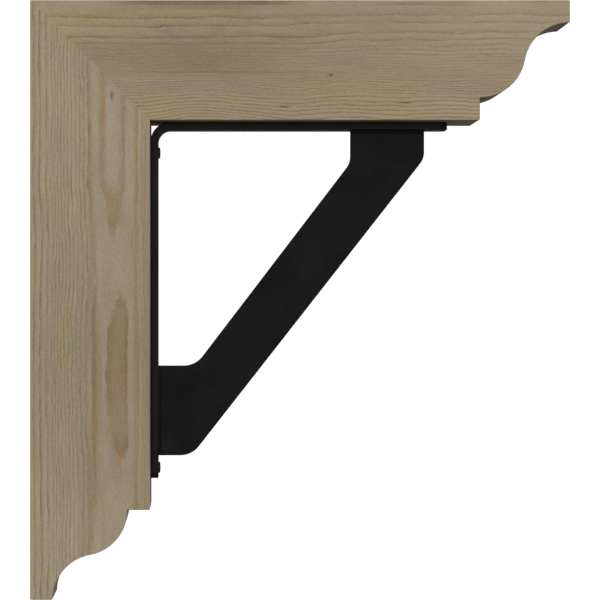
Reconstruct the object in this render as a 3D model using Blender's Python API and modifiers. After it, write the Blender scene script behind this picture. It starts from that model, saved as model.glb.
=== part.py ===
"""A timber corbel bracket: two mitred timbers with ogee ends, a steel angle strap and a diagonal brace.

Metres, +Z up. The origin is the centre of the face that goes against the wall. +X points away
from the wall and Y runs across the width of the timbers.
"""

import math

import bmesh
import bpy

INCH = 0.0254

# Timbers: both have the same section
PROJECTION = 18 * INCH
HEIGHT = 20 * INCH
TIMBER_DEPTH = 4 * INCH
TIMBER_WIDTH = 4 * INCH

# Ogee at each free end: a flat nose, a double curve and a square step
NOSE = 0.75 * INCH
STEP = 0.75 * INCH
OGEE_RUN = 3 * INCH
OGEE_ARC_SEGMENTS = 16

# Strap: a flat bar bent to a right angle, each leg ending short of its timber's step
STRAP_WIDTH = 1.5 * INCH
STRAP_THICKNESS = 0.25 * INCH
STRAP_TO_STEP = 1 * INCH
BEND_INNER_RADIUS = 0.41 * INCH
BEND_SEGMENTS = 12
STRAP_CORNER_RADIUS = 0.25 * INCH
STRAP_CORNER_SEGMENTS = 6

# Brace: a flat plate whose two tabs stand on the strap
BRACE_THICKNESS = 0.25 * INCH
BRACE_TO_STRAP_END = 0.75 * INCH
BRACE_TO_LOWER_SCREW = 0.2225 * INCH
BRACE_TOP_TAB = 2.5 * INCH
BRACE_TOP_REACH_OUTER = 0.95 * INCH
BRACE_TOP_REACH_INNER = 1.09 * INCH
BRACE_TOP_FILLET = 0.64 * INCH
BRACE_WALL_TAB = 3.04 * INCH
BRACE_WALL_REACH_OUTER = 1.13 * INCH
BRACE_WALL_REACH_INNER = 1.25 * INCH
BRACE_WALL_FILLET = 0.8 * INCH
FILLET_SEGMENTS = 8

# Screws: low dome heads on the strap, shanks in the wall leg
SCREW_HEAD_DIAMETER = 0.375 * INCH
SCREW_HEAD_HEIGHT = 0.06 * INCH
SCREW_HEAD_EDGE = 0.045 * INCH
SCREW_SHANK_DIAMETER = 0.1875 * INCH
SCREW_LENGTH = 2.5 * INCH
SCREW_POINT = 0.25 * INCH
SCREW_SOCKET_ACROSS_CORNERS = 0.15 * INCH
SCREW_SOCKET_DEPTH = 0.035 * INCH
SCREW_SIDES = 24
DOME_SEGMENTS = 5
SCREW_TO_BEND = 0.16 * INCH
SCREW_TO_STRAP_END = 0.34 * INCH

# Space left between pieces that touch, and around a screw in the strap
TOUCH_GAP = 0.0003
STRAP_HOLE_CLEARANCE = 0.0005
CUT_OVERSHOOT = 0.002
SAME_POINT = 1e-6

TOP_Z = HEIGHT / 2
ARM_UNDERSIDE_Z = TOP_Z - TIMBER_DEPTH
STRAP_TOP_LENGTH = PROJECTION - TIMBER_DEPTH - OGEE_RUN - STRAP_TO_STEP
STRAP_WALL_LENGTH = HEIGHT - TIMBER_DEPTH - OGEE_RUN - STRAP_TO_STEP
SCREW_HEAD_RADIUS = SCREW_HEAD_DIAMETER / 2

for leftover in list(bpy.data.objects):
    bpy.data.objects.remove(leftover)

parts = bpy.data.collections.new("timber_corbel_bracket")
cutters = bpy.data.collections.new("cutters")
for collection in (parts, cutters):
    bpy.context.scene.collection.children.link(collection)


def material(name, colour, roughness, metallic):
    """A Principled material of one colour."""
    made = bpy.data.materials.new(name)
    made.use_nodes = True
    shader = made.node_tree.nodes["Principled BSDF"]
    shader.inputs["Base Color"].default_value = (*colour, 1.0)
    shader.inputs["Roughness"].default_value = roughness
    shader.inputs["Metallic"].default_value = metallic
    return made


def plate(name, outline, width, finish):
    """A closed outline of (x, z) points, filled and given a width along Y about Y = 0."""
    curve = bpy.data.curves.new(name, "CURVE")
    curve.dimensions = "2D"
    curve.fill_mode = "BOTH"
    curve.extrude = width / 2
    spline = curve.splines.new("POLY")
    spline.points.add(len(outline) - 1)
    for point, (x, z) in zip(spline.points, outline):
        point.co = (x, z, 0.0, 1.0)
    spline.use_cyclic_u = True
    drawing = bpy.data.objects.new(name + "_drawing", curve)
    drawing.rotation_euler.x = math.pi / 2
    parts.objects.link(drawing)
    bpy.context.view_layer.update()
    evaluated = drawing.evaluated_get(bpy.context.evaluated_depsgraph_get())
    mesh = bpy.data.meshes.new_from_object(evaluated)
    solid = bpy.data.objects.new(name, mesh)
    solid.matrix_world = drawing.matrix_world
    bpy.data.objects.remove(drawing)
    parts.objects.link(solid)
    shape = bmesh.new()
    shape.from_mesh(mesh)
    bmesh.ops.remove_doubles(shape, verts=shape.verts, dist=SAME_POINT)
    bmesh.ops.recalc_face_normals(shape, faces=shape.faces)
    shape.to_mesh(mesh)
    shape.free()
    mesh.materials.clear()
    mesh.materials.append(finish)
    return solid


def ogee(run, rise):
    """Points of a hollow arc and then a round arc of one radius, both level where they end.

    They go from (0, 0), at the nose, to (run, rise), at the step.
    """
    sweep = 2 * math.atan2(rise, run)
    radius = run / 2 / math.sin(sweep)
    angles = [sweep * i / OGEE_ARC_SEGMENTS for i in range(OGEE_ARC_SEGMENTS + 1)]
    hollow = [(radius * math.sin(a), radius * (1 - math.cos(a))) for a in angles]
    rounded = [(run - along, rise - across) for along, across in reversed(hollow)]
    return hollow + rounded[1:]


def timber_outline(length):
    """One timber's side, as (along, across) from the outer corner of the mitre."""
    mitre_shift = TOUCH_GAP / math.sqrt(2)
    curve = ogee(OGEE_RUN, TIMBER_DEPTH - NOSE - STEP)
    return (
        [(mitre_shift, 0.0), (length, 0.0)]
        + [(length - along, NOSE + across) for along, across in curve]
        + [(length - OGEE_RUN, TIMBER_DEPTH), (TIMBER_DEPTH + mitre_shift, TIMBER_DEPTH)]
    )


def rounded_outline(corners, segments):
    """An outline of (x, z, radius) corners, each corner with a radius made into an arc."""
    points = []
    count = len(corners)
    for i, (x, z, radius) in enumerate(corners):
        if not radius:
            points.append((x, z))
            continue
        before_x, before_z, _ = corners[i - 1]
        after_x, after_z, _ = corners[(i + 1) % count]
        start = math.atan2(before_z - z, before_x - x)
        opening = (math.atan2(after_z - z, after_x - x) - start + math.pi) % (2 * math.pi) - math.pi
        bisector = start + opening / 2
        reach = radius / math.sin(abs(opening) / 2)
        centre_x = x + reach * math.cos(bisector)
        centre_z = z + reach * math.sin(bisector)
        sweep = math.copysign(math.pi - abs(opening), -opening)
        first = bisector + math.pi - sweep / 2
        for j in range(segments + 1):
            angle = first + sweep * j / segments
            points.append((centre_x + radius * math.cos(angle), centre_z + radius * math.sin(angle)))
    return points


def in_corner(out, down, radius=0.0):
    """A corner given from the strap's own outer corner, which sits clear of both timbers by the gap."""
    return (TIMBER_DEPTH + TOUCH_GAP + out, ARM_UNDERSIDE_Z - TOUCH_GAP - down, radius)


def add_top_arm(finish):
    """The horizontal timber."""
    outline = [(along, TOP_Z - across) for along, across in timber_outline(PROJECTION)]
    return plate("timber_top_arm", outline, TIMBER_WIDTH, finish)


def add_wall_leg(finish):
    """The upright timber, against the wall."""
    outline = [(across, TOP_Z - along) for along, across in timber_outline(HEIGHT)]
    return plate("timber_wall_leg", outline, TIMBER_WIDTH, finish)


def add_strap(finish):
    """The bent flat bar, with its four outer corners rounded."""
    outline = rounded_outline(
        [
            in_corner(STRAP_TOP_LENGTH, 0.0),
            in_corner(0.0, 0.0, BEND_INNER_RADIUS + STRAP_THICKNESS),
            in_corner(0.0, STRAP_WALL_LENGTH),
            in_corner(STRAP_THICKNESS, STRAP_WALL_LENGTH),
            in_corner(STRAP_THICKNESS, STRAP_THICKNESS, BEND_INNER_RADIUS),
            in_corner(STRAP_TOP_LENGTH, STRAP_THICKNESS),
        ],
        BEND_SEGMENTS,
    )
    strap = plate("steel_angle_strap", outline, STRAP_WIDTH, finish)
    shape = bmesh.new()
    shape.from_mesh(strap.data)
    top_end = max(v.co.x for v in shape.verts) - SAME_POINT
    wall_end = min(v.co.y for v in shape.verts) + SAME_POINT
    through = [e for e in shape.edges if abs(e.verts[0].co.z - e.verts[1].co.z) < SAME_POINT]
    corners = [e for e in through if all(v.co.x > top_end for v in e.verts)]
    corners += [e for e in through if all(v.co.y < wall_end for v in e.verts)]
    bmesh.ops.bevel(
        shape,
        geom=corners,
        offset=STRAP_CORNER_RADIUS,
        segments=STRAP_CORNER_SEGMENTS,
        profile=0.5,
        affect="EDGES",
    )
    shape.to_mesh(strap.data)
    shape.free()
    return strap


def add_brace(finish):
    """The diagonal plate: two parallel-sided tabs joined by a band with filleted corners."""
    foot = STRAP_THICKNESS + TOUCH_GAP
    top_outer = STRAP_TOP_LENGTH - BRACE_TO_STRAP_END
    top_inner = top_outer - BRACE_TOP_TAB
    wall_outer = STRAP_WALL_LENGTH - SCREW_TO_STRAP_END - SCREW_HEAD_RADIUS - BRACE_TO_LOWER_SCREW
    wall_inner = wall_outer - BRACE_WALL_TAB
    outline = rounded_outline(
        [
            in_corner(foot, wall_outer),
            in_corner(STRAP_THICKNESS + BRACE_WALL_REACH_OUTER, wall_outer, BRACE_WALL_FILLET),
            in_corner(top_outer, STRAP_THICKNESS + BRACE_TOP_REACH_OUTER, BRACE_TOP_FILLET),
            in_corner(top_outer, foot),
            in_corner(top_inner, foot),
            in_corner(top_inner, STRAP_THICKNESS + BRACE_TOP_REACH_INNER, BRACE_TOP_FILLET),
            in_corner(STRAP_THICKNESS + BRACE_WALL_REACH_INNER, wall_inner, BRACE_WALL_FILLET),
            in_corner(foot, wall_inner),
        ],
        FILLET_SEGMENTS,
    )
    return plate("steel_diagonal_brace", outline, BRACE_THICKNESS, finish)


def screw_place(down):
    """Where the underside of a screw's head is: on the strap, the given distance down its wall leg."""
    head_x = TIMBER_DEPTH + STRAP_THICKNESS + 2 * TOUCH_GAP
    return (head_x, 0.0, ARM_UNDERSIDE_Z - TOUCH_GAP - down)


def add_screw(name, down, finish):
    """A dome-head screw, turned about its own Z axis and then laid along X."""
    shank_radius = SCREW_SHANK_DIAMETER / 2
    dome_rise = SCREW_HEAD_HEIGHT - SCREW_HEAD_EDGE
    dome_radius = (SCREW_HEAD_RADIUS**2 + dome_rise**2) / (2 * dome_rise)
    dome_sweep = math.asin(SCREW_HEAD_RADIUS / dome_radius)
    profile = []
    for i in range(DOME_SEGMENTS + 1):
        angle = dome_sweep * i / DOME_SEGMENTS
        height = SCREW_HEAD_HEIGHT - dome_radius * (1 - math.cos(angle))
        profile.append((dome_radius * math.sin(angle), height))
    profile += [
        (SCREW_HEAD_RADIUS, 0.0),
        (shank_radius, 0.0),
        (shank_radius, SCREW_POINT - SCREW_LENGTH),
        (0.0, -SCREW_LENGTH),
    ]
    mesh = bpy.data.meshes.new(name)
    edges = [(i, i + 1) for i in range(len(profile) - 1)]
    mesh.from_pydata([(radius, 0.0, height) for radius, height in profile], edges, [])
    mesh.materials.append(finish)
    screw = bpy.data.objects.new(name, mesh)
    screw.location = screw_place(down)
    screw.rotation_euler.y = math.pi / 2
    parts.objects.link(screw)
    turning = screw.modifiers.new("turning", "SCREW")
    turning.steps = SCREW_SIDES
    turning.render_steps = SCREW_SIDES
    turning.use_merge_vertices = True
    turning.merge_threshold = SAME_POINT
    socket_height = SCREW_SOCKET_DEPTH + CUT_OVERSHOOT
    socket_x = screw.location.x + SCREW_HEAD_HEIGHT - SCREW_SOCKET_DEPTH + socket_height / 2
    socket = cylinder(name + "_socket", SCREW_SOCKET_ACROSS_CORNERS / 2, socket_height, 6)
    socket.location = (socket_x, 0.0, screw.location.z)
    cut(screw, socket)
    return screw


def cylinder(name, radius, length, sides):
    """A cutter along X, centred on its own origin."""
    shape = bmesh.new()
    bmesh.ops.create_cone(
        shape, cap_ends=True, segments=sides, radius1=radius, radius2=radius, depth=length
    )
    mesh = bpy.data.meshes.new(name)
    shape.to_mesh(mesh)
    shape.free()
    cutter = bpy.data.objects.new(name, mesh)
    cutter.rotation_euler.y = math.pi / 2
    cutter.hide_render = True
    cutter.display_type = "WIRE"
    cutters.objects.link(cutter)
    return cutter


def cut(solid, cutter):
    """Takes the cutter's shape out of the solid."""
    taking = solid.modifiers.new(cutter.name, "BOOLEAN")
    taking.operation = "DIFFERENCE"
    taking.object = cutter


def drill_for_screw(name, down, strap, leg):
    """A clearance hole through the strap and a pilot hole into the leg."""
    head_x, _, height = screw_place(down)
    strap_radius = SCREW_SHANK_DIAMETER / 2 + STRAP_HOLE_CLEARANCE
    strap_cut = STRAP_THICKNESS + 2 * CUT_OVERSHOOT
    strap_hole = cylinder(name + "_strap_hole", strap_radius, strap_cut, SCREW_SIDES)
    strap_hole.location = (TIMBER_DEPTH + TOUCH_GAP + STRAP_THICKNESS / 2, 0.0, height)
    cut(strap, strap_hole)
    hole_start_x = TIMBER_DEPTH + CUT_OVERSHOOT
    hole_end_x = head_x - SCREW_LENGTH - TOUCH_GAP
    pilot_radius = SCREW_SHANK_DIAMETER / 2 + TOUCH_GAP
    pilot_hole = cylinder(name + "_pilot_hole", pilot_radius, hole_start_x - hole_end_x, SCREW_SIDES)
    pilot_hole.location = ((hole_start_x + hole_end_x) / 2, 0.0, height)
    cut(leg, pilot_hole)


arm_wood = material("arm_wood", (0.283, 0.223, 0.138), 0.8, 0.0)
leg_wood = material("leg_wood", (0.291, 0.231, 0.149), 0.8, 0.0)
black_steel = material("black_steel", (0.009, 0.009, 0.009), 0.6, 0.0)
screw_steel = material("screw_steel", (0.011, 0.011, 0.011), 0.5, 0.0)

add_top_arm(arm_wood)
wall_leg = add_wall_leg(leg_wood)
angle_strap = add_strap(black_steel)
add_brace(black_steel)
screws = {
    "screw_upper": STRAP_THICKNESS + BEND_INNER_RADIUS + SCREW_TO_BEND + SCREW_HEAD_RADIUS,
    "screw_lower": STRAP_WALL_LENGTH - SCREW_TO_STRAP_END,
}
for screw_name, screw_down in screws.items():
    add_screw(screw_name, screw_down, screw_steel)
    drill_for_screw(screw_name, screw_down, angle_strap, wall_leg)
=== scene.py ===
"""The looks of a timber corbel bracket: wood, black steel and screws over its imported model."""

import math

import bmesh
import bpy
import numpy as np
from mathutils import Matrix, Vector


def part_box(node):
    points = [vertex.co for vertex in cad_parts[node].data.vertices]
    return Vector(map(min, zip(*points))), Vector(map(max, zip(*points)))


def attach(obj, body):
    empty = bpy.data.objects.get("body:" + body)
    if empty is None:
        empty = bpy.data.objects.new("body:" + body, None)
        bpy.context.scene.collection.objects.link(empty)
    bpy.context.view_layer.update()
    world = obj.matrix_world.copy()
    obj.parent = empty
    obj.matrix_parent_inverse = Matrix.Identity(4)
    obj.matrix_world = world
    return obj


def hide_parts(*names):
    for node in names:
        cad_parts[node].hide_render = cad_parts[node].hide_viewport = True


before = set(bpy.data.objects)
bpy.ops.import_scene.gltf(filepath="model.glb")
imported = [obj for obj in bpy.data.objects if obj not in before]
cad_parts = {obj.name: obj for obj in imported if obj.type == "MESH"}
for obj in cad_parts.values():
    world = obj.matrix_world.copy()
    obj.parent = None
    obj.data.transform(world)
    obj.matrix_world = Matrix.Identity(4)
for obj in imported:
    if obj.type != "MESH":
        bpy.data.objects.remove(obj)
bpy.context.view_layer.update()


# The two timbers.
# Each is a sawn length of old softwood, mitred at the corner where they meet and glued there. The free
# end is cut on a band saw to an ogee, and every arris except the mitre's is eased by hand.
INCH = 0.0254
ARM_LOW, ARM_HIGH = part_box("timber_top_arm")
LEG_LOW, LEG_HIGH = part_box("timber_wall_leg")
TOP = ARM_HIGH.z
TIMBER_DEPTH = ARM_HIGH.z - ARM_LOW.z
TIMBER_WIDTH = ARM_HIGH.y - ARM_LOW.y
NOSE = 0.75 * INCH
STEP = 0.75 * INCH
OGEE_RUN = 3 * INCH
OGEE_POINTS = 25
SIDE_SPACING = 0.006
ARRIS = 0.0008
ARRIS_POINTS = 5
ARRIS_WANDER = 0.0003
ARRIS_WAVES = ((0.6, 11, 0), (0.4, 29, 1))
SAME_POINT = 1e-7
SHARP_TURN = math.radians(35)
QUARTER_TURN = np.pi / 2


def filleted(corners, radii, steps=8):
    """A closed outline whose corners are arcs.

    Each arc's centre is on the corner's bisector, one radius from both edges, and the arc turns by the
    angle between the edges' directions."""
    corners = np.asarray(corners, float)
    radii = np.asarray(radii, float)
    back = np.roll(corners, 1, axis=0) - corners
    ahead = np.roll(corners, -1, axis=0) - corners
    start = np.arctan2(back[:, 1], back[:, 0])
    opening = (np.arctan2(ahead[:, 1], ahead[:, 0]) - start + np.pi) % (2 * np.pi) - np.pi
    middle = start + opening / 2
    reach = radii / np.sin(np.abs(opening) / 2)
    centres = corners + reach[:, None] * np.column_stack([np.cos(middle), np.sin(middle)])
    sweep = -np.copysign(np.pi - np.abs(opening), opening)
    angle = (middle + np.pi)[:, None] + sweep[:, None] * (np.linspace(0, 1, steps + 1) - 0.5)
    arcs = centres[:, None] + radii[:, None, None] * np.stack([np.cos(angle), np.sin(angle)], axis=2)
    points = arcs.reshape(-1, 2)
    apart = np.linalg.norm(points - np.roll(points, 1, axis=0), axis=1)
    return points[apart > SAME_POINT]


def spaced(points, spacing):
    """The same closed outline with more points on its long edges, read off at even distances along it."""
    closed = np.vstack([points, points[:1]])
    length = np.concatenate([[0], np.cumsum(np.linalg.norm(np.diff(closed, axis=0), axis=1))])
    even = np.arange(spacing, length[-1], spacing)
    nearest = np.abs(even[:, None] - length).min(axis=1)
    places = np.sort(np.concatenate([length[:-1], even[nearest > spacing / 3]]))
    return np.column_stack([np.interp(places, length, closed[:, i]) for i in (0, 1)])


def inward(outline, kept_edges=None):
    """The way each point of a closed outline moves when every edge moves inwards by one unit.

    Between two edges with unit normals a and b it is (a + b) / (1 + a.b). A point that ends a kept edge
    slides along that edge instead, and a point between two kept edges stays."""
    along = np.roll(outline, -1, axis=0) - outline
    along /= np.linalg.norm(along, axis=1)[:, None]
    area = np.sum(outline[:, 0] * np.roll(outline[:, 1], -1) - outline[:, 1] * np.roll(outline[:, 0], -1))
    normal = np.column_stack([-along[:, 1], along[:, 0]]) * np.sign(area)
    before = np.roll(normal, 1, axis=0)
    move = (normal + before) / (1 + np.sum(normal * before, axis=1))[:, None]
    if kept_edges is None:
        return move
    kept_before = np.roll(kept_edges, 1)
    starts = kept_edges & ~kept_before
    ends = kept_before & ~kept_edges
    before_along = np.roll(along, 1, axis=0)
    move[kept_edges & kept_before] = 0.0
    move[starts] = along[starts] / np.sum(along[starts] * before[starts], axis=1)[:, None]
    move[ends] = before_along[ends] / np.sum(before_along[ends] * normal[ends], axis=1)[:, None]
    return move


def skin(name, loops, welded=False):
    """A closed mesh over loops of points. Each loop joins the next, and the first and the last are
    filled, or else welded where they close up to a line or a point.

    Its faces are turned outwards if the volume under them, the sum of a . (b x c) / 6, is negative."""
    rows, count = loops.shape[:2]
    points = loops.reshape(-1, 3)
    row, column = np.meshgrid(np.arange(rows - 1), np.arange(count), indexing="ij")
    here = row * count + column
    beside = row * count + (column + 1) % count
    quads = np.stack([here, beside, beside + count, here + count], axis=2).reshape(-1, 4)
    first_cap = np.arange(count)[::-1]
    last_cap = np.arange(count) + (rows - 1) * count
    caps = (first_cap, last_cap)
    fans = [np.column_stack([np.full(count - 2, cap[0]), cap[1:-1], cap[2:]]) for cap in caps]
    triangles = np.vstack([quads[:, :3], quads[:, [0, 2, 3]], *fans])
    a, b, c = (points[triangles[:, i]] for i in range(3))
    if np.sum(a * np.cross(b, c)) < 0:
        quads = quads[:, ::-1]
        first_cap = first_cap[::-1]
        last_cap = last_cap[::-1]
    mesh = bpy.data.meshes.new(name)
    caps = [] if welded else [first_cap.tolist(), last_cap.tolist()]
    mesh.from_pydata(points.tolist(), [], quads.tolist() + caps)
    if welded:
        closing = bmesh.new()
        closing.from_mesh(mesh)
        bmesh.ops.remove_doubles(closing, verts=closing.verts, dist=SAME_POINT)
        closing.to_mesh(mesh)
        closing.free()
    mesh.shade_smooth()
    mesh.set_sharp_from_angle(angle=SHARP_TURN)
    piece = bpy.data.objects.new(name, mesh)
    bpy.context.scene.collection.objects.link(piece)
    even_shading = piece.modifiers.new("even_shading", "WEIGHTED_NORMAL")
    even_shading.keep_sharp = True
    return piece


def board(name, outline, width, arris, place, kept_edges=None):
    """An outline with a thickness, its arrises rounded by a quarter circle at each side: there the
    outline is inset by arris times 1 - sin and stands arris times 1 - cos in from the face."""
    quarter = np.linspace(0, QUARTER_TURN, ARRIS_POINTS)[:, None]
    arris = np.broadcast_to(arris, len(outline))
    inset = arris * (1 - np.sin(quarter))
    depth = arris * (1 - np.cos(quarter)) - width / 2
    inset = np.vstack([inset, inset[::-1]])
    depth = np.vstack([depth, -depth[::-1]])
    flat = outline + inset[:, :, None] * inward(outline, kept_edges)
    return skin(name, place(flat[..., 0], flat[..., 1], depth))


def timber_side(length):
    """One timber's side as (along, across) points, from the outer corner of the mitre. The nose's two
    corners and the step's are rounded.

    The ogee is a hollow arc and a round arc of one radius. The sweep of each is twice the angle whose
    tangent is rise over run, so both are level where they end."""
    rise = TIMBER_DEPTH - NOSE - STEP
    sweep = 2 * math.atan2(rise, OGEE_RUN)
    radius = OGEE_RUN / 2 / math.sin(sweep)
    angle = np.linspace(0, sweep, OGEE_POINTS)
    hollow = radius * np.column_stack([np.sin(angle), 1 - np.cos(angle)])
    rounded = (OGEE_RUN, rise) - hollow[-2::-1]
    ogee = (length, NOSE) + np.vstack([hollow, rounded]) * (-1, 1)
    step_corner = (length - OGEE_RUN, TIMBER_DEPTH)
    corners = [(0, 0), (length, 0), *ogee, step_corner, (TIMBER_DEPTH, TIMBER_DEPTH)]
    radii = np.zeros(len(corners))
    radii[[1, 2, -2]] = ARRIS + ARRIS_WANDER
    return spaced(filleted(corners, radii), SIDE_SPACING)


def timber(name, length, place):
    """A timber with hand-eased arrises. Their width wanders along them as a sum of sines, each with its
    share, its number of waves round the side and its phase. The mitre's edges stay sharp."""
    side = timber_side(length)
    ahead = np.roll(side, -1, axis=0)
    on_mitre = np.abs(side[:, 0] - side[:, 1]) < SAME_POINT
    kept_edges = on_mitre & np.roll(on_mitre, -1)
    walked = np.cumsum(np.linalg.norm(ahead - side, axis=1))
    turns = 2 * np.pi * walked / walked[-1]
    wander = sum(share * np.sin(waves * turns + phase) for share, waves, phase in ARRIS_WAVES)
    arris = ARRIS + ARRIS_WANDER * wander
    piece = board(name, side, TIMBER_WIDTH, arris, place, kept_edges)
    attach(piece, "root")
    return piece


dressed_arm = timber(
    "dressed_top_arm",
    ARM_HIGH.x,
    lambda along, across, y: np.stack([along, y + 0 * along, TOP - across], axis=2),
)
dressed_leg = timber(
    "dressed_wall_leg",
    TOP - LEG_LOW.z,
    lambda along, across, y: np.stack([across, y + 0 * along, TOP - along], axis=2),
)
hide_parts("timber_top_arm")
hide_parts("timber_wall_leg")


class Wire:
    """A socket in a material's nodes. Arithmetic with it adds Math nodes; node() adds any other kind."""

    def __init__(self, tree, socket=None):
        self.tree = tree
        self.socket = socket

    def node(self, kind, inputs=None, settings=None, output=0):
        """Adds a node, sets its settings or a ramp's stops, then gives each input a value or a link."""
        made = self.tree.nodes.new(kind)
        for name, value in (settings or {}).items():
            if name == "stops":
                elements = made.color_ramp.elements
                while len(elements) < len(value):
                    elements.new(1.0)
                for element, (place, colour) in zip(elements, value):
                    element.position = place
                    element.color = colour
            else:
                setattr(made, name, value)
        for name, value in (inputs or {}).items():
            if isinstance(value, Wire):
                self.tree.links.new(value.socket, made.inputs[name])
            else:
                made.inputs[name].default_value = value
        return Wire(self.tree, made.outputs[output])

    def into(self, shader, name):
        """Links this socket to one of a shader's."""
        self.tree.links.new(self.socket, shader.inputs[name])

    def math(self, operation, *values):
        """A Math node on two or three values, in the order given."""
        return self.node("ShaderNodeMath", dict(enumerate(values)), {"operation": operation})

    def __add__(self, other):
        return self.math("ADD", self, other)

    __radd__ = __add__

    def __sub__(self, other):
        return self.math("SUBTRACT", self, other)

    def __rsub__(self, other):
        return self.math("SUBTRACT", other, self)

    def __mul__(self, other):
        return self.math("MULTIPLY", self, other)

    __rmul__ = __mul__

    def __truediv__(self, other):
        return self.math("DIVIDE", self, other)

    def __pow__(self, other):
        return self.math("POWER", self, other)

    def __abs__(self):
        return self.math("ABSOLUTE", self)


def eased(value, low, high):
    """0 below low and 1 above high, with a smooth step between them. It falls if low is above high."""
    if low > high:
        return 1 - eased(value, high, low)
    inputs = {"Value": value, "From Min": low, "From Max": high}
    return value.node("ShaderNodeMapRange", inputs, {"interpolation_type": "SMOOTHSTEP"})


def hump(value, centre, reach, power=2):
    """1 at the centre, falling off as exp(-(distance / reach) ^ power). A power of 4 has a flat top."""
    return value.math("EXPONENT", ((value - centre) / reach) ** power * -1)


def grain_noise(place, length, breadth, detail=2.0, roughness=0.5):
    """Noise from about -1 to 1, in patches of a length with the grain and a breadth across it, in mm."""
    along, across, through = place
    stretched = {"X": along * (1 / length), "Y": across * (1 / breadth), "Z": through * (1 / breadth)}
    vector = along.node("ShaderNodeCombineXYZ", stretched)
    inputs = {"Vector": vector, "Scale": 1.0, "Detail": detail, "Roughness": roughness}
    return (along.node("ShaderNodeTexNoise", inputs) - 0.5) * 2


def blend(mask, first, second):
    """One colour where the mask is 0 and the other where it is 1."""
    return mask.node("ShaderNodeMix", {0: mask, 6: first, 7: second}, {"data_type": "RGBA"}, output=2)


def shade(colour, amount):
    """A colour made darker or lighter: every part of it times the same amount."""
    inputs = {0: colour, "Scale": amount}
    return amount.node("ShaderNodeVectorMath", inputs, {"operation": "SCALE"})


def bare_material(name):
    """A new material, its shader, and its Object coordinates as a wire."""
    material = bpy.data.materials.new(name)
    material.use_nodes = True
    shader = material.node_tree.nodes["Principled BSDF"]
    return material, shader, Wire(material.node_tree).node("ShaderNodeTexCoord", output="Object")


def srgb(red, green, blue):
    """A colour as a screen shows it, from 0 to 255, as the light that a shader works with."""
    parts = [part / 255 for part in (red, green, blue)]
    linear = [part / 12.92 if part <= 0.04045 else ((part + 0.055) / 1.055) ** 2.4 for part in parts]
    return (*linear, 1.0)


MILLIMETRES = 1000
HEART_DEPTH = 76.2
PATCH_THROUGH = 45
EDGE_WOBBLE = 0.2
BOLD_AT_LEAST = 0.7
BOLD_BY_YEAR = 0.4
BOLD_ALONG = 1.8
WARM_STREAKS = 0.4
WARM_EARLY = 0.25
WARM_LATE = 0.55
FLECK_STRENGTH = 0.5
RAGGED_ENDS = 0.5
RAGGED_SIDES = 0.8
CLOUD_SHADE = 0.12
FIBRE_SHADE = 0.12
SPECKLE_SHADE = 0.26
END_GRAIN_SHADE = 0.22
FIBRE_RELIEF = 0.04
SPECKLE_RELIEF = 0.05
YEAR_RELIEF = 0.04
FLECK_RELIEF = 0.1
WOOD_ROUGHNESS = 0.82
LATE_SMOOTHER = 0.1
WOOD_SPECULAR = 0.25
YEAR_COLOURS = [
    (0.0, srgb(156, 142, 121)),
    (0.5, srgb(153, 139, 116)),
    (0.75, srgb(141, 125, 95)),
    (0.9, srgb(126, 108, 78)),
    (0.95, srgb(129, 112, 84)),
    (1.0, srgb(156, 142, 121)),
]
PLAIN_WOOD = srgb(148, 133, 108)
PALE_WOOD = srgb(157, 143, 121)
HONEY_WOOD = srgb(155, 140, 111)
PINK_WOOD = srgb(146, 127, 113)
OLIVE_WOOD = srgb(141, 126, 92)
SHADED_WOOD = srgb(134, 118, 94)
BROWN_WOOD = srgb(122, 102, 76)
ORANGE_WOOD = srgb(148, 112, 76)
FLECK_WOOD = srgb(92, 78, 60)
PINK_TINT = (1.01, 0.985, 1.06, 1.0)
OLIVE_TINT = (0.995, 1.007, 0.92, 1.0)


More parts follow.
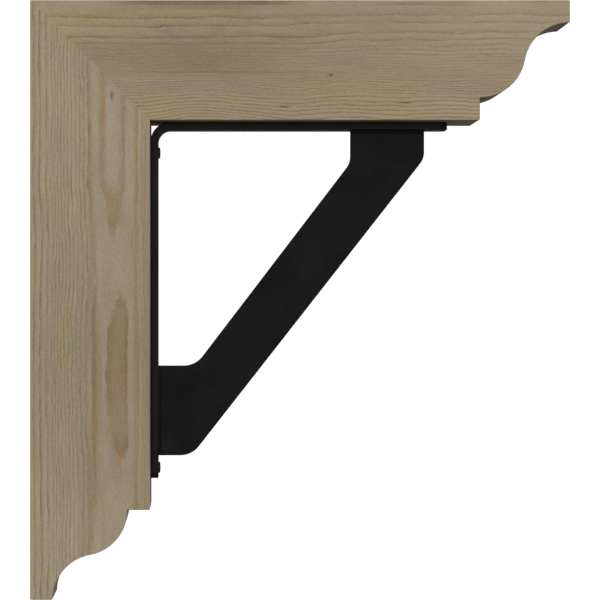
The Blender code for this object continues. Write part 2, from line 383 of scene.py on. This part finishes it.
def softwood(name, grain_along_x, heart, growth, bold, sway, tone, washes, patches):
    """Wood as growth rings round a heart line that runs in front of the timber, all in millimetres.

    A point's distance from the heart line gives its year by the growth list, whose rows are a start, an
    end and how many years grew between them. Within a year the wood goes from pale to dark and stops
    short. Where the heart line comes nearer to a face, a year's dark wood surfaces there as a spear or a
    lens. The rows of bold are a start, an end and how much plainer the years are past them. sway is how
    far the rings wander, slowly, quickly and finely, and tone tints the whole timber.

    A patch is a stain, a streak or a fleck: a colour, its strength, its middle along and across, and its
    half length and half breadth. It fades out behind the front face. A wash is a wide one that runs
    through and only makes the wood that much lighter."""
    material, shader, where = bare_material(name)
    wire = Wire(material.node_tree)
    x, y, z = (wire.node("ShaderNodeSeparateXYZ", {0: where}, output=i) * MILLIMETRES for i in range(3))
    down = TOP * MILLIMETRES - z
    along, across = (x, down) if grain_along_x else (down, x)
    place = (along, across, y)

    slow, quick, fine = sway
    lateral, farther = heart(along, across)
    lateral = lateral + grain_noise(place, 75, 45) * slow + grain_noise(place, 26, 9) * quick
    lateral = lateral + grain_noise(place, 9, 3) * fine
    front = -TIMBER_WIDTH / 2 * MILLIMETRES
    deep = y + (HEART_DEPTH - front)
    distance = wire.math("SQRT", lateral * lateral + deep * deep) - HEART_DEPTH + farther
    wobble = grain_noise(place, 4, 1.5) + grain_noise(place, 13, 4)
    distance = distance + wobble * EDGE_WOBBLE
    years = sum(
        wire.node("ShaderNodeMapRange", {0: distance, 1: start, 2: end, 3: 0.0, 4: float(count)})
        for start, end, count in growth
    )
    year = wire.math("FLOOR", years)
    season = years - year
    strength = sum(
        wire.node("ShaderNodeMapRange", {0: distance, 1: start, 2: end, 3: 0.0, 4: change})
        for start, end, change in bold
    )
    chance = wire.node("ShaderNodeTexWhiteNoise", {"W": year}, {"noise_dimensions": "1D"})
    fading = grain_noise((along, year * 37, y * 0), 34, 1)
    strength = strength * (BOLD_AT_LEAST + chance * BOLD_BY_YEAR + fading * BOLD_ALONG)
    year_colour = wire.node("ShaderNodeValToRGB", {0: season}, {"stops": YEAR_COLOURS})
    drift = grain_noise(place, 130, 22)
    tint = blend(eased(drift + grain_noise(place, 40, 9) * 0.8, -0.3, 0.3), PINK_TINT, OLIVE_TINT)
    colour = blend(eased(strength, 0.0, 1.0), PLAIN_WOOD, year_colour)
    for multiplier in (tint, tone):
        colour = wire.node("ShaderNodeVectorMath", {0: colour, 1: multiplier}, {"operation": "MULTIPLY"})

    late = eased(season, 0.5, 0.9)
    warm = eased(grain_noise(place, 45, 6), 0.3, 0.7) * WARM_STREAKS * (WARM_EARLY + late * WARM_LATE)
    colour = blend(warm, colour, ORANGE_WOOD)
    dark = eased(grain_noise(place, 6, 1.2), 0.66, 0.8) * FLECK_STRENGTH
    colour = blend(dark, colour, FLECK_WOOD)
    ragged = grain_noise(place, 9, 1.5, 3.0)
    shallow = hump(y, front, PATCH_THROUGH, 4)
    for patch_colour, amount, middle_along, middle_across, length, breadth in patches:
        lengthways = hump(along + ragged * (length * RAGGED_ENDS), middle_along, length)
        sideways = hump(across + ragged * (breadth * RAGGED_SIDES), middle_across, breadth, 4)
        colour = blend(lengthways * sideways * amount * shallow, colour, patch_colour)

    cloud = grain_noise(place, 60, 16) * CLOUD_SHADE
    for amount, middle_along, middle_across, length, breadth in washes:
        cloud = cloud + hump(along, middle_along, length) * hump(across, middle_across, breadth) * amount
    fibres = grain_noise(place, 14, 1.2, 4.0, 0.6)
    speckle = grain_noise(place, 1.9, 1.4, 2.0, 0.7)
    colour = shade(colour, 1 + cloud + fibres * FIBRE_SHADE + speckle * SPECKLE_SHADE)
    facing = wire.node("ShaderNodeTexCoord", output="Normal")
    facing = wire.node("ShaderNodeSeparateXYZ", {0: facing}, output=0 if grain_along_x else 2)
    colour = shade(colour, 1 - eased(abs(facing), 0.3, 0.95) * END_GRAIN_SHADE)

    relief = fibres * FIBRE_RELIEF + speckle * SPECKLE_RELIEF
    relief = relief - late * strength * YEAR_RELIEF - dark * FLECK_RELIEF
    bump = wire.node("ShaderNodeBump", {"Height": relief, "Distance": 0.001, "Strength": 0.7})
    colour.into(shader, "Base Color")
    (WOOD_ROUGHNESS - late * LATE_SMOOTHER).into(shader, "Roughness")
    bump.into(shader, "Normal")
    shader.inputs["Specular IOR Level"].default_value = WOOD_SPECULAR
    return material


def arm_heart(along, across):
    """The heart runs level with the arm's top face. The lower years lift in an arc near the bracket, and
    the upper ones climb towards the free end."""
    lift = hump(along, 150, 48) * (across * 0.01) ** 3 * 10
    climb = eased(along, 215, 285) * (2.3 + hump(across, 30, 12) * eased(along, 215, 360) * 3)
    return across + 0.5 + lift + climb, 0


def leg_heart(along, across):
    """The heart runs two thirds of the way across and leans a little further halfway down, where the
    years beside the lens bow. It comes nearer to the face from the mitre to a spear's stepped tip, and
    again in the long lens."""
    spear = eased(along, 172, 155) * 0.42 + eased(along, 201, 186) * 0.486
    lens = hump(along, 319, 68, 6) * 0.75
    lean_by_length = 9.5 - hump(along, 319, 55) * 4.6
    lean = hump(across, 74, 16) * eased(along, 203, 245) * lean_by_length
    bow = hump(across, 53, 8) * hump(along, 325, 90) * 2
    return across - 70 - lean - bow, 0.8 - spear - lens


dressed_arm.data.materials.append(
    softwood(
        "arm_wood",
        grain_along_x=True,
        heart=arm_heart,
        growth=[
            (-2, 1.1, 0.6),
            (1.1, 1.77, 0.4),
            (1.77, 2.7, 0.55),
            (2.7, 3.6, 0.45),
            (3.6, 5.7, 0.55),
            (5.7, 7.0, 0.45),
            (7.0, 11.5, 2),
            (11.5, 36, 16),
            (36, 60, 9),
            (60, 150, 40),
        ],
        bold=[(-1000, -999, 0.75), (9, 16, -0.3), (24, 34, 0.45), (36, 42, 0.25)],
        sway=(3.5, 1.8, 0.6),
        tone=(1.0, 1.003, 0.945),
        washes=[
            (0.06, 430, 30, 70, 60),
            (0.09, 20, 15, 40, 20),
            (-0.09, 165, 29, 90, 20),
            (0.05, 370, 10, 60, 12),
            (-0.06, 160, 71, 85, 18),
            (0.04, 350, 42, 70, 12),
            (0.05, 360, 92, 100, 12),
        ],
        patches=[
            (PLAIN_WOOD, 0.35, 290, 22, 45, 20),
            (SHADED_WOOD, 0.6, 130, 47, 105, 15),
            (PALE_WOOD, 0.3, 410, 22, 90, 22),
            (BROWN_WOOD, 0.5, 163, 61, 70, 0.8),
            (SHADED_WOOD, 0.6, 150, 6.2, 62, 2.2),
            (PALE_WOOD, 0.5, 60, 2.5, 18, 2.5),
            (PALE_WOOD, 0.5, 250, 2.5, 24, 2.5),
            (BROWN_WOOD, 0.9, 106, 2.2, 30, 2.0),
            (BROWN_WOOD, 0.8, 150, 2.4, 32, 2.2),
            (BROWN_WOOD, 0.9, 194, 2.2, 30, 2.0),
            (BROWN_WOOD, 0.6, 320, 3.4, 26, 1.1),
            (ORANGE_WOOD, 0.3, 350, 3.6, 24, 1.4),
            (ORANGE_WOOD, 0.4, 431, 2, 7, 2),
            (ORANGE_WOOD, 0.45, 370, 25.6, 20, 1.0),
            (OLIVE_WOOD, 0.8, 222, 14.2, 28, 1.9),
            (PINK_WOOD, 0.6, 118, 28.4, 8, 3),
            (PINK_WOOD, 0.6, 179, 28.4, 8, 3),
            (FLECK_WOOD, 1.0, 254.7, 63.5, 2.0, 1.0),
            (FLECK_WOOD, 0.8, 215.6, 90.2, 4.5, 0.8),
            (FLECK_WOOD, 0.8, 317.7, 86.9, 5, 0.8),
        ],
    )
)
dressed_leg.data.materials.append(
    softwood(
        "leg_wood",
        grain_along_x=False,
        heart=leg_heart,
        growth=[
            (-2.2, 0.635, 1),
            (0.635, 2.94, 1),
            (2.94, 5.1, 2),
            (5.1, 16, 8),
            (16, 18.9, 1),
            (18.9, 130, 32),
        ],
        bold=[(-1000, -999, 0.78), (2.94, 3.2, -0.12), (14, 16, 0.1)],
        sway=(1.6, 1.6, 1.0),
        tone=(1.0, 1.003, 1.05),
        washes=[
            (0.1, 60, 14, 60, 26),
            (0.09, 470, 20, 60, 40),
            (0.05, 222, 71, 30, 16),
            (0.06, 130, 55, 70, 70),
            (-0.05, 290, 25, 50, 45),
            (0.03, 415, 78, 40, 14),
        ],
        patches=[
            (PALE_WOOD, 0.95, 115, 69.8, 62, 8),
            (PALE_WOOD, 0.8, 127, 55.8, 50, 3.2),
            (OLIVE_WOOD, 0.75, 105, 60.2, 62, 2.4),
            (OLIVE_WOOD, 0.6, 120, 79, 55, 2),
            (OLIVE_WOOD, 0.5, 70, 4, 50, 1.8),
            (HONEY_WOOD, 0.7, 170, 92.9, 90, 1.8),
            (HONEY_WOOD, 0.7, 430, 92.9, 60, 1.8),
            (HONEY_WOOD, 0.5, 160, 86.5, 80, 2.2),
            (OLIVE_WOOD, 0.35, 350, 91, 85, 7),
            (OLIVE_WOOD, 0.85, 280, 89.8, 210, 1.7),
            (OLIVE_WOOD, 0.75, 300, 96.9, 200, 1.9),
            (SHADED_WOOD, 0.8, 320, 100.4, 85, 2.2),
            (PALE_WOOD, 0.3, 319, 85.2, 55, 1.8),
            (BROWN_WOOD, 0.3, 335, 73, 62, 8),
            (SHADED_WOOD, 0.3, 420, 47, 200, 5.5),
            (PALE_WOOD, 0.7, 230, 58.4, 40, 3),
            (PALE_WOOD, 0.9, 485, 57.8, 80, 3.4),
            (OLIVE_WOOD, 0.85, 212, 51.8, 60, 2),
            (OLIVE_WOOD, 0.85, 425, 51.8, 75, 2),
            (OLIVE_WOOD, 0.8, 330, 58, 62, 3),
            (BROWN_WOOD, 0.6, 325, 54.6, 85, 1.8),
            (ORANGE_WOOD, 0.5, 353, 56, 24, 2),
            (ORANGE_WOOD, 0.6, 92, 62.2, 15, 1.6),
            (OLIVE_WOOD, 0.8, 174, 71.5, 16, 6),
            (ORANGE_WOOD, 0.5, 168, 66.6, 9, 1.4),
            (BROWN_WOOD, 0.4, 194, 69.8, 9, 3),
            (ORANGE_WOOD, 0.35, 250, 76, 5, 2),
            (OLIVE_WOOD, 0.5, 340, 74, 60, 7),
            (BROWN_WOOD, 0.4, 319, 81.5, 50, 1.6),
            (ORANGE_WOOD, 0.6, 318, 77.6, 14, 1.3),
            (ORANGE_WOOD, 0.45, 385, 75.5, 9, 3.5),
            (FLECK_WOOD, 0.75, 81, 69.2, 3.6, 1.5),
        ],
    )
)


# The angle strap.
# A bar of hot-rolled flat steel, its corners rounded and its edges linished, bent cold to a right angle.
# It lies in the inside corner of the timbers, black powder coated after the brace is welded on.
STRAP_LOW, STRAP_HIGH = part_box("steel_angle_strap")
STRAP_WIDTH = STRAP_HIGH.y - STRAP_LOW.y
STRAP_THICKNESS = 0.25 * INCH
BEND_RADIUS = 0.41 * INCH
STRAP_CORNER = 0.25 * INCH
STRAP_EDGE = 0.0007
EDGE_POINTS = 5
CORNER_POINTS = 9
BEND_POINTS = 33
BEND_X = STRAP_LOW.x + STRAP_THICKNESS + BEND_RADIUS
BEND_Z = STRAP_HIGH.z - STRAP_THICKNESS - BEND_RADIUS


def edge_round(thickness, edge):
    """A bar's edge from its inner face to its outer one: two quarter circles, as how far each point is
    set in from the bar's side and how high it is above the inner face."""
    turn = np.linspace(0, QUARTER_TURN, EDGE_POINTS)
    inset = edge * np.concatenate([1 - np.sin(turn), 1 - np.cos(turn)])
    height = np.concatenate([edge * (1 - np.cos(turn)), thickness - edge * (1 - np.sin(turn))])
    return inset, height


def bent_strap(name):
    """The bar's cross section carried along its length, with each leg's end drawn in to round corners.

    At a distance u from the end the half width is W/2 - r + sqrt(r^2 - (r - u)^2). Round the bend, a
    point that is h above the inner face runs on a circle of the inner radius plus h."""
    seated = STRAP_THICKNESS + STRAP_LOW.x - LEG_HIGH.x
    inset, height = edge_round(seated, STRAP_EDGE)
    fan = np.linspace(0, QUARTER_TURN, CORNER_POINTS)[:, None]
    from_end = np.vstack([inset, STRAP_CORNER - (STRAP_CORNER - inset) * np.cos(fan)])
    half_width = STRAP_WIDTH / 2 - STRAP_CORNER + (STRAP_CORNER - inset) * np.sin(fan)
    half_width = np.vstack([0 * inset, half_width])
    angle = np.linspace(0, QUARTER_TURN, BEND_POINTS)[:, None]
    ahead = np.vstack([STRAP_HIGH.x - BEND_X - from_end, 0 * angle * inset, 0 * from_end])
    below = np.vstack([0 * from_end, 0 * angle * inset, BEND_Z - STRAP_LOW.z - from_end[::-1]])
    straight = np.zeros((len(from_end), 1))
    turned = np.vstack([straight, angle, straight + QUARTER_TURN])
    across = np.vstack([half_width, STRAP_WIDTH / 2 - inset + 0 * angle, half_width[::-1]])
    x = BEND_X + ahead - np.sin(turned) * (BEND_RADIUS + height)
    z = BEND_Z - below + np.cos(turned) * (BEND_RADIUS + height)
    near = np.stack([x, -across, z], axis=2)
    far = np.stack([x, across, z], axis=2)[:, ::-1]
    return skin(name, np.concatenate([near, far], axis=1), welded=True)


bent_bar = bent_strap("bent_angle_strap")
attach(bent_bar, "root")
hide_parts("steel_angle_strap")


# The diagonal brace.
# A piece of quarter-inch plate cut to shape, with filleted corners and linished edges. Its two tabs stand
# on the strap, edge on and in the middle of it, and are fillet welded to it on both sides.
BRACE_LOW, BRACE_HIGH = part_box("steel_diagonal_brace")
BRACE_THICKNESS = BRACE_HIGH.y - BRACE_LOW.y
BRACE_TOP_TAB = 2.5 * INCH
BRACE_TOP_REACH_OUTER = 0.95 * INCH
BRACE_TOP_REACH_INNER = 1.09 * INCH
BRACE_TOP_FILLET = 0.64 * INCH
BRACE_WALL_TAB = 3.04 * INCH
BRACE_WALL_REACH_OUTER = 1.13 * INCH
BRACE_WALL_REACH_INNER = 1.25 * INCH
BRACE_WALL_FILLET = 0.8 * INCH
BRACE_EDGE = 0.0005
BRACE_TURN_STEPS = 16
SEAT_X = STRAP_LOW.x + STRAP_THICKNESS
SEAT_Z = STRAP_HIGH.z - STRAP_THICKNESS
WALL_TAB_TOP = BRACE_LOW.z + BRACE_WALL_TAB
TOP_TAB_START = BRACE_HIGH.x - BRACE_TOP_TAB
WELD_LEG = 0.0024
WELD_RIPPLE = 0.003
WELD_END = 0.0012
WELD_SINK = WELD_LEG / 8
WELD_FULLNESS = 0.85
WELD_SWELL = 0.1
WELD_BOW = 0.3
WELD_POINTS = 7
WELD_POINTS_ACROSS = 9


def brace_outline():
    """The plate's side as (x, z) points from the wall tab's lower corner, its turns filleted."""
    corners = [
        (SEAT_X, BRACE_LOW.z),
        (SEAT_X + BRACE_WALL_REACH_OUTER, BRACE_LOW.z),
        (BRACE_HIGH.x, SEAT_Z - BRACE_TOP_REACH_OUTER),
        (BRACE_HIGH.x, SEAT_Z),
        (TOP_TAB_START, SEAT_Z),
        (TOP_TAB_START, SEAT_Z - BRACE_TOP_REACH_INNER),
        (SEAT_X + BRACE_WALL_REACH_INNER, WALL_TAB_TOP),
        (SEAT_X, WALL_TAB_TOP),
    ]
    radii = [0, BRACE_WALL_FILLET, BRACE_TOP_FILLET, 0, 0, BRACE_TOP_FILLET, BRACE_WALL_FILLET, 0]
    return filleted(corners, radii, BRACE_TURN_STEPS)


def weld_bead(name, start, end, away, side):
    """A fillet weld in the angle between the plate and the strap, laid from one point to another.

    Across, it runs from the plate to the strap as (cos t, sin t) to a power just under 1, a little fuller
    than straight. Along, its legs swell and sink as the size of a sine, which bows with sin 2t, and it is
    rounded off at both ends by a quarter circle. Its root lies a little inside the metal."""
    start, end, away = (np.array(point, float) for point in (start, end, away))
    length = np.linalg.norm(end - start)
    ends = WELD_LEG * (1 - np.cos(np.linspace(0, QUARTER_TURN, WELD_POINTS)))
    middle = np.linspace(WELD_LEG, length - WELD_LEG, int(length / WELD_RIPPLE) * WELD_POINTS)
    along = np.concatenate([ends[:-1], middle, length - ends[-2::-1]])[:, None]
    turn = np.linspace(0, QUARTER_TURN, WELD_POINTS_ACROSS)
    nearest = np.minimum(along, length - along) / WELD_LEG
    round_off = np.sqrt(1 - (1 - np.clip(nearest, 0, 1)) ** 2)
    ripple = np.abs(np.sin(np.pi * (along / WELD_RIPPLE + WELD_BOW * np.sin(2 * turn))))
    leg = WELD_LEG * round_off * (1 - WELD_SWELL + WELD_SWELL * ripple)
    root = -WELD_SINK * round_off
    from_plate = np.hstack([leg * np.cos(turn) ** WELD_FULLNESS, root])
    from_strap = np.hstack([leg * np.sin(turn) ** WELD_FULLNESS, root])
    line = start + along[..., None] * (end - start) / length
    loops = line + from_strap[..., None] * away
    loops[..., 1] += side * (BRACE_THICKNESS / 2 + from_plate)
    return skin(name, loops, welded=True)


outline = brace_outline()
ahead = np.roll(outline, -1, axis=0)
on_wall_leg = np.maximum(outline[:, 0], ahead[:, 0]) < SEAT_X + SAME_POINT
on_top_leg = np.minimum(outline[:, 1], ahead[:, 1]) > SEAT_Z - SAME_POINT
cut_plate = board(
    "cut_brace_plate",
    outline,
    BRACE_THICKNESS,
    BRACE_EDGE,
    lambda x, z, y: np.stack([x, y + 0 * x, z], axis=2),
    on_wall_leg | on_top_leg,
)
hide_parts("steel_diagonal_brace")
beads = {
    "wall": ((SEAT_X, 0, BRACE_LOW.z + WELD_END), (SEAT_X, 0, WALL_TAB_TOP - WELD_END), (1, 0, 0)),
    "top": ((TOP_TAB_START + WELD_END, 0, SEAT_Z), (BRACE_HIGH.x - WELD_END, 0, SEAT_Z), (0, 0, -1)),
}
welds = [
    weld_bead("weld_" + tab + "_" + face, *run, side)
    for tab, run in beads.items()
    for face, side in (("front", -1), ("back", 1))
]


COAT_PEBBLE = 1400.0
COAT_DRIFT = 35.0
COAT_ROUGHNESS = 0.7
COAT_SMOOTHER = 0.2
COAT_SPECULAR = 0.08


def coated_steel(name, darkest, palest):
    """Black powder coat: a fine even pebble, over a slow drift between a duller and a smoother black."""
    material, shader, place = bare_material(name)
    pebble = place.node("ShaderNodeTexNoise", {"Vector": place, "Scale": COAT_PEBBLE, "Detail": 2.0})
    drift = place.node("ShaderNodeTexNoise", {"Vector": place, "Scale": COAT_DRIFT, "Detail": 4.0})
    bump = place.node("ShaderNodeBump", {"Height": pebble, "Distance": 0.0001, "Strength": 0.6})
    blend(drift, darkest, palest).into(shader, "Base Color")
    (COAT_ROUGHNESS - drift * COAT_SMOOTHER).into(shader, "Roughness")
    bump.into(shader, "Normal")
    shader.inputs["Specular IOR Level"].default_value = COAT_SPECULAR
    return material


# The strap, its weld beads and the plate are all one powder coat, but they are given two blacks. The
# strap and beads are painted lighter to make up for the shadow the timbers and the strap cast on them.
# The open plate is painted darker against the light it catches. Together they make the steel look evenly
# black.
strap_coat_painted_lighter = coated_steel("strap_coat_painted_lighter", (0.0078, 0.0073, 0.0074, 1.0), (0.0100, 0.0094, 0.0096, 1.0))
plate_coat_painted_darker = coated_steel("plate_coat_painted_darker", (0.0019, 0.0019, 0.0019, 1.0), (0.0033, 0.0033, 0.0033, 1.0))
bent_bar.data.materials.append(strap_coat_painted_lighter)
cut_plate.data.materials.append(plate_coat_painted_darker)
# The weld beads take the strap's lighter black: painted light over the shade in the corner between the
# strap and the plate.
for bead in welds:
    bead.data.materials.append(strap_coat_painted_lighter)
for piece in (cut_plate, *welds):
    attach(piece, "root")


# The two screws.
# Black steel wood screws with low round heads and a hexagon socket. They go through the wall leg of the
# strap into the upright timber, one close under the bend and one close to the strap's end.
SCREW_HEAD_RADIUS = 0.1875 * INCH
SCREW_HEAD_DOME = 0.015 * INCH
SCREW_HEAD_ROUND = 0.012 * INCH
SCREW_SHANK_RADIUS = 0.09375 * INCH
SCREW_POINT = 0.25 * INCH
SOCKET_APOTHEM = 0.065 * INCH
SOCKET_DEPTH = 0.035 * INCH
SOCKET_CHAMFER = 0.008 * INCH
SOCKET_LIP = 1.08 * SOCKET_APOTHEM + SOCKET_CHAMFER
SCREW_SIDES = 48
DOME_RINGS = 6
ROUND_RINGS = 5


def socket_screw(name, node):
    """Rings about the screw's axis, from the socket's floor out over the head and down the shank.

    A ring's radius is a share of the hexagon's, which is apothem / cos(angle from the nearest flat), plus
    a plain amount. The dome falls by the square of the radius. Each row is a share, a plain amount and a
    place along the axis."""
    low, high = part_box(node)
    angle = np.linspace(0, 2 * np.pi, SCREW_SIDES, endpoint=False)
    hexagon = SOCKET_APOTHEM / np.cos((angle + np.pi / 6) % (np.pi / 3) - np.pi / 6)
    socket_floor = high.x - SOCKET_DEPTH
    socket = [(0, 0, socket_floor), (1, 0, socket_floor), (1, 0, high.x - SOCKET_CHAMFER)]
    socket.append((1, SOCKET_CHAMFER, high.x))
    dome = np.linspace(SOCKET_LIP, SCREW_HEAD_RADIUS - SCREW_HEAD_ROUND, DOME_RINGS)
    dome_height = high.x - SCREW_HEAD_DOME * (dome / SCREW_HEAD_RADIUS) ** 2
    fading = np.linspace(0.8, 0, DOME_RINGS)
    head = np.column_stack([fading, dome - fading * SOCKET_APOTHEM, dome_height])
    turn = np.linspace(0, QUARTER_TURN, ROUND_RINGS)[1:]
    shoulder = SCREW_HEAD_RADIUS - SCREW_HEAD_ROUND * (1 - np.sin(turn))
    shoulder_height = dome_height[-1] - SCREW_HEAD_ROUND * (1 - np.cos(turn))
    rim = np.column_stack([0 * turn, shoulder, shoulder_height])
    shank = [(0, SCREW_HEAD_RADIUS, SEAT_X), (0, SCREW_SHANK_RADIUS, SEAT_X)]
    shank += [(0, SCREW_SHANK_RADIUS, low.x + SCREW_POINT), (0, 0, low.x)]
    share, plain, height = np.vstack([socket, head, rim, shank]).T
    radius = share[:, None] * hexagon + plain[:, None]
    y = radius * np.cos(angle)
    z = (low.z + high.z) / 2 + radius * np.sin(angle)
    piece = skin(name, np.stack([height[:, None] + 0 * y, y, z], axis=2), welded=True)
    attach(piece, "root")
    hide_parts(node)
    return piece


OXIDE_MOTTLE = 900.0
OXIDE_DARK = (0.0050, 0.0049, 0.0050, 1.0)
OXIDE_PALE = (0.0095, 0.0092, 0.0092, 1.0)
OXIDE_ROUGHNESS = 0.62
OXIDE_SMOOTHER = 0.2
OXIDE_SPECULAR = 0.2


def blackened_steel(name):
    """Chemical black on steel: a faint mottling in its colour, its gloss and its surface."""
    material, shader, place = bare_material(name)
    mottle = place.node("ShaderNodeTexNoise", {"Vector": place, "Scale": OXIDE_MOTTLE, "Detail": 3.0})
    bump = place.node("ShaderNodeBump", {"Height": mottle, "Distance": 0.00005, "Strength": 0.5})
    blend(mottle, OXIDE_DARK, OXIDE_PALE).into(shader, "Base Color")
    (OXIDE_ROUGHNESS - mottle * OXIDE_SMOOTHER).into(shader, "Roughness")
    bump.into(shader, "Normal")
    shader.inputs["Specular IOR Level"].default_value = OXIDE_SPECULAR
    return material


black_oxide = blackened_steel("screw_steel")
for name, node in (("socket_screw_upper", "screw_upper"), ("socket_screw_lower", "screw_lower")):
    socket_screw(name, node).data.materials.append(black_oxide)

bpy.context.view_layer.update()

# The studio.
# A level camera far enough away for the photograph's slight perspective, soft light from its side, a
# weaker light from behind, a white surround, and a pale floor far enough down for a look from below.
PICTURE = 600
PX = INCH / 30
WALL_FACE_PX = 30
VANISH_X = 195.0
VANISH_Y = PICTURE / 2
DISTANCE = 115.6 * INCH
SENSOR_WIDTH = 36
camera_data = bpy.data.cameras.new("camera")
camera_data.sensor_width = SENSOR_WIDTH
camera_data.lens = SENSOR_WIDTH * DISTANCE / (PICTURE * PX)
camera_data.shift_x = (PICTURE / 2 - VANISH_X) / PICTURE
camera_data.clip_end = 100
camera = bpy.data.objects.new("camera", camera_data)
camera.location = ((VANISH_X - WALL_FACE_PX) * PX, -TIMBER_WIDTH / 2 - DISTANCE, TOP - VANISH_Y * PX)
camera.rotation_euler = (math.pi / 2, 0, 0)
bpy.context.scene.collection.objects.link(camera)
bpy.context.scene.camera = camera
bpy.context.scene.view_settings.view_transform = "Standard"


def soft_sun(name, energy, spread, tilt, turn, glints):
    """A sun as wide as its spread. Tilted by 90 degrees it is level, and turned by 0 it shines the way
    the camera looks. Without glints it lights the pieces but isn't mirrored in them."""
    data = bpy.data.lights.new(name, "SUN")
    data.energy = energy
    data.angle = math.radians(spread)
    sun = bpy.data.objects.new(name, data)
    sun.rotation_euler = (math.radians(tilt), 0, math.radians(turn))
    sun.visible_glossy = glints
    bpy.context.scene.collection.objects.link(sun)


soft_sun("front_light", 1.95, 20, 84, -2, True)
soft_sun("back_light", 1.3, 4, 90, 180, False)

SKY_LEAST = 0.12
SKY_RISE = 0.40
SKY_BEHIND = 0.8
SKY_SEEN = 1.05
world = bpy.data.worlds.new("world")
bpy.context.scene.world = world
world.use_nodes = True
tree = world.node_tree
sky = Wire(tree)
ray = sky.node("ShaderNodeTexCoord", output="Generated")
away, rise = (sky.node("ShaderNodeSeparateXYZ", {0: ray}, output=i) for i in (1, 2))
light = (eased(rise, -0.5, 0.5) * SKY_RISE + SKY_LEAST) * (1 + eased(away, -0.2, 0.8) * SKY_BEHIND)
seen = sky.node("ShaderNodeLightPath", output="Is Camera Ray")
light = light * (1 - seen) + seen * SKY_SEEN
light.into(tree.nodes["Background"], "Strength")
tree.nodes["Background"].inputs["Color"].default_value = (1, 1, 1, 1)

FLOOR_LEVEL = -8.0
FLOOR_RADIUS = 60.0
FLOOR_DULL = (0.80, 0.80, 0.79, 1.0)
FLOOR_PALE = (0.86, 0.86, 0.85, 1.0)
floor_mesh = bpy.data.meshes.new("floor")
angle = np.linspace(0, 2 * np.pi, 96, endpoint=False)
rim = FLOOR_RADIUS * np.column_stack([np.cos(angle), np.sin(angle), 0 * angle])
rim[:, 2] = FLOOR_LEVEL
floor_mesh.from_pydata(rim.tolist(), [], [list(range(len(rim)))])
floor = bpy.data.objects.new("floor", floor_mesh)
bpy.context.scene.collection.objects.link(floor)
floor.visible_diffuse = False
floor.visible_glossy = False
floor.visible_shadow = False
floor_paint, floor_shader, floor_place = bare_material("floor_paint")
mottle = floor_place.node("ShaderNodeTexNoise", {"Vector": floor_place, "Scale": 3.0, "Detail": 4.0})
blend(mottle, FLOOR_DULL, FLOOR_PALE).into(floor_shader, "Base Color")
floor_shader.inputs["Roughness"].default_value = 0.9
floor_shader.inputs["Emission Color"].default_value = (1, 1, 1, 1)
floor_shader.inputs["Emission Strength"].default_value = 0.4
floor_mesh.materials.append(floor_paint)
